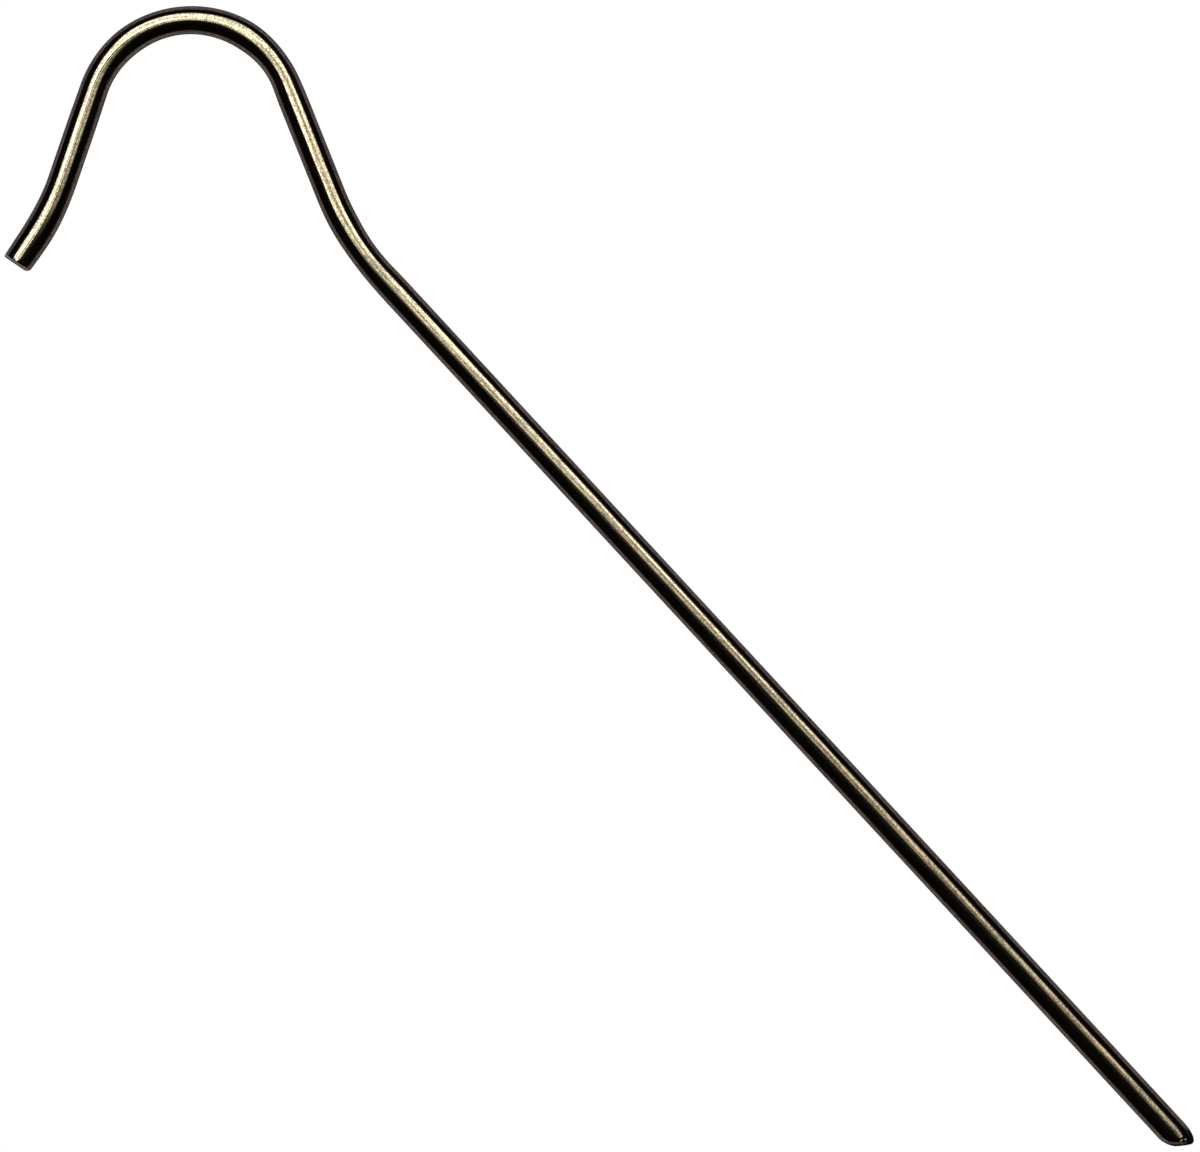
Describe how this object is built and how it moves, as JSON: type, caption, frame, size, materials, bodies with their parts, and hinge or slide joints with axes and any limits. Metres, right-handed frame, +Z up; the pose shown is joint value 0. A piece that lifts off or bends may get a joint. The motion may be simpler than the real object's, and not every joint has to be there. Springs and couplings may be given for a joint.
{
  "type": "tent stake",
  "caption": "Slim hook-top tent stake bent from round metal rod, with a flared lip that keeps a guy line in the hook and a rounded oblique point for the ground.",
  "frame": {"origin": "middle of the underside of the bounding box, with the stake lying flat on the ground", "axes": "+X along the shank from the hook to the point; +Z up, square to the plane that the rod is bent in; the hook opens towards -Y"},
  "size_m": [0.165, 0.0368, 0.0032],
  "materials": {
    "titanium": "bare drawn titanium, satin, with fine lengthwise draw lines and a slight warm tint"
  },
  "bodies": {
    "root": {"bent_rod": "titanium"}
  },
  "joints": []
}
